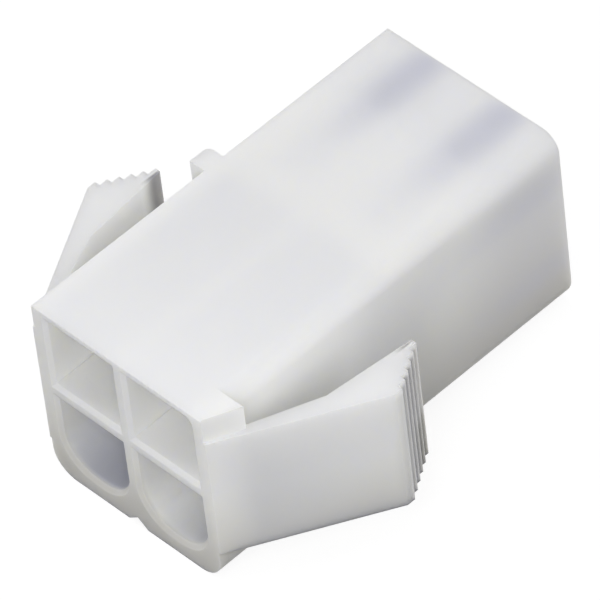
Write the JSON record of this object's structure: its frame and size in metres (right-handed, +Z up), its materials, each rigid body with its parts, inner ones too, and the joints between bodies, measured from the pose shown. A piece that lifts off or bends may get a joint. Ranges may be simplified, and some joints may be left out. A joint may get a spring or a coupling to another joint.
{
  "type": "wire to board connector housing",
  "caption": "Moulded nylon pin-and-socket housing with square and rounded mating chambers, round terminal bores, toothed panel ears and stop tabs.",
  "frame": {"origin": "middle of the housing's box, on the plane of its underside", "axes": "+Y along the housing from the mating face to the wire face, +X across it towards the keyed edge, +Z up from the underside"},
  "size_m": [0.0196, 0.0228, 0.0107],
  "materials": {
    "natural_nylon": "satin natural nylon, translucent milky white, moulded"
  },
  "bodies": {
    "root": {"housing": "natural_nylon"}
  },
  "joints": []
}
